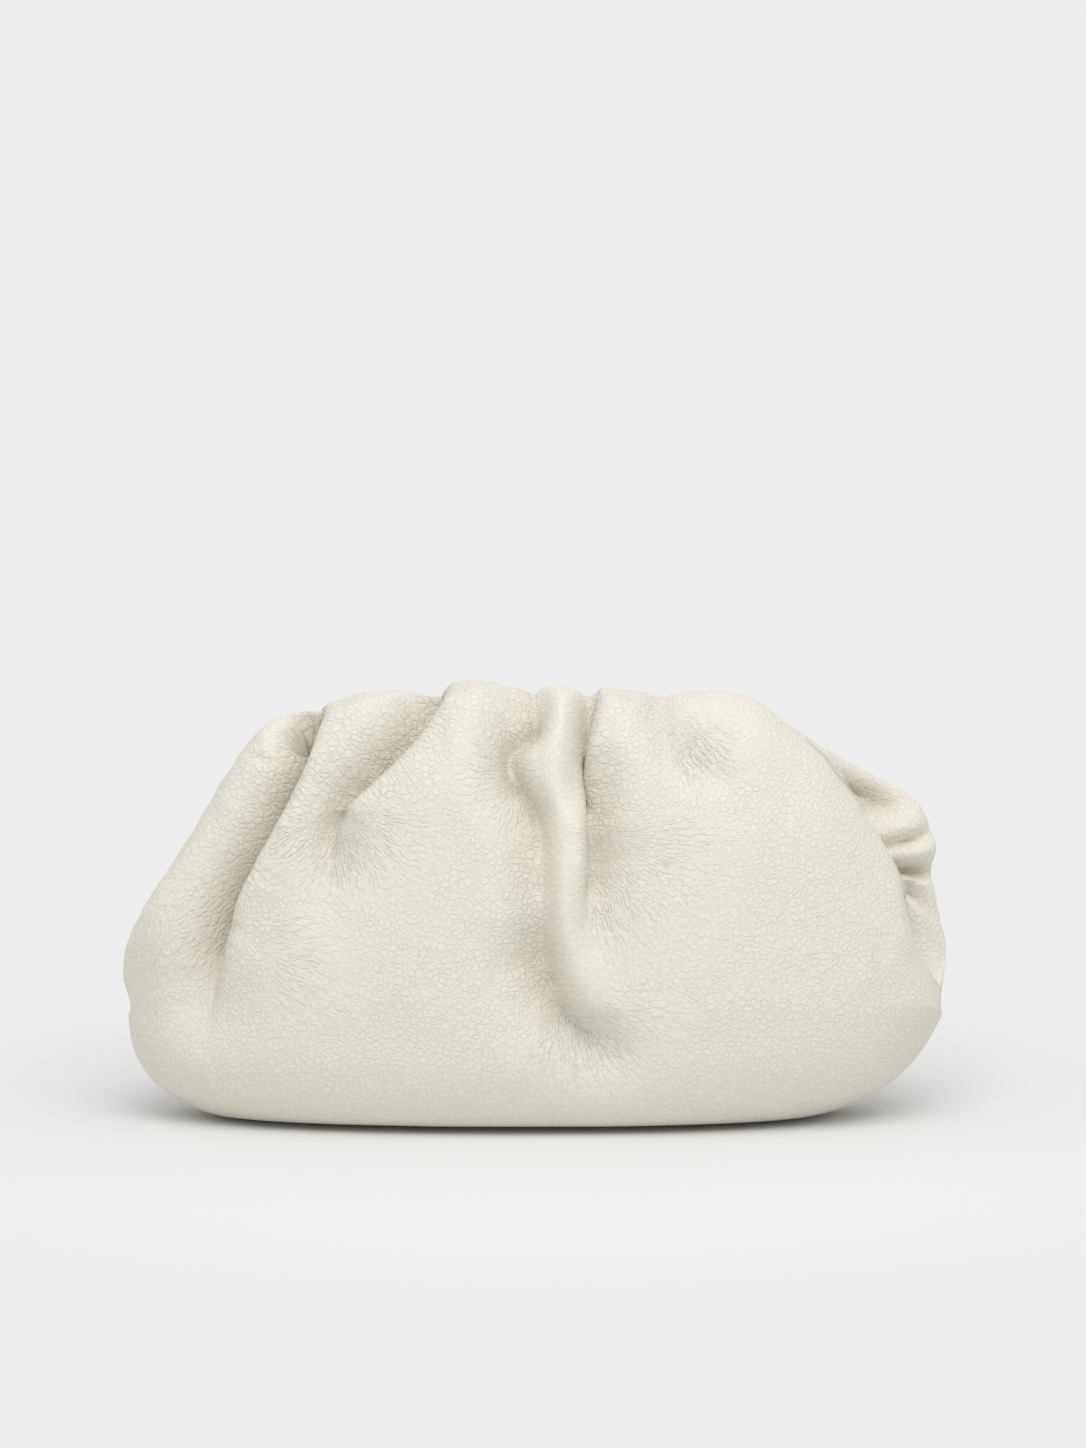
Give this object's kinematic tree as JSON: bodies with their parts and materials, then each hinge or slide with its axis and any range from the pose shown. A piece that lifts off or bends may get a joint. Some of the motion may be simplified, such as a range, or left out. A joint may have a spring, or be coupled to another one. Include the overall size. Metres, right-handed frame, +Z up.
{
  "type": "clutch bag",
  "caption": "Soft hand-held clutch bag: a hollow leather pouch gathered onto a hidden arched closing frame, standing on a flat bottom.",
  "frame": {"origin": "centre of the bag's footprint, on the surface that it stands on", "axes": "+X across the bag's width, -Y towards its front, +Z up"},
  "size_m": [0.229, 0.0858, 0.1222],
  "materials": {
    "grained_leather": "soft matt ivory leather with a pebbled grain",
    "smooth_leather": "smooth satin ivory leather"
  },
  "bodies": {
    "root": {"leather_body": "grained_leather", "closure_frame": "smooth_leather"}
  },
  "joints": []
}
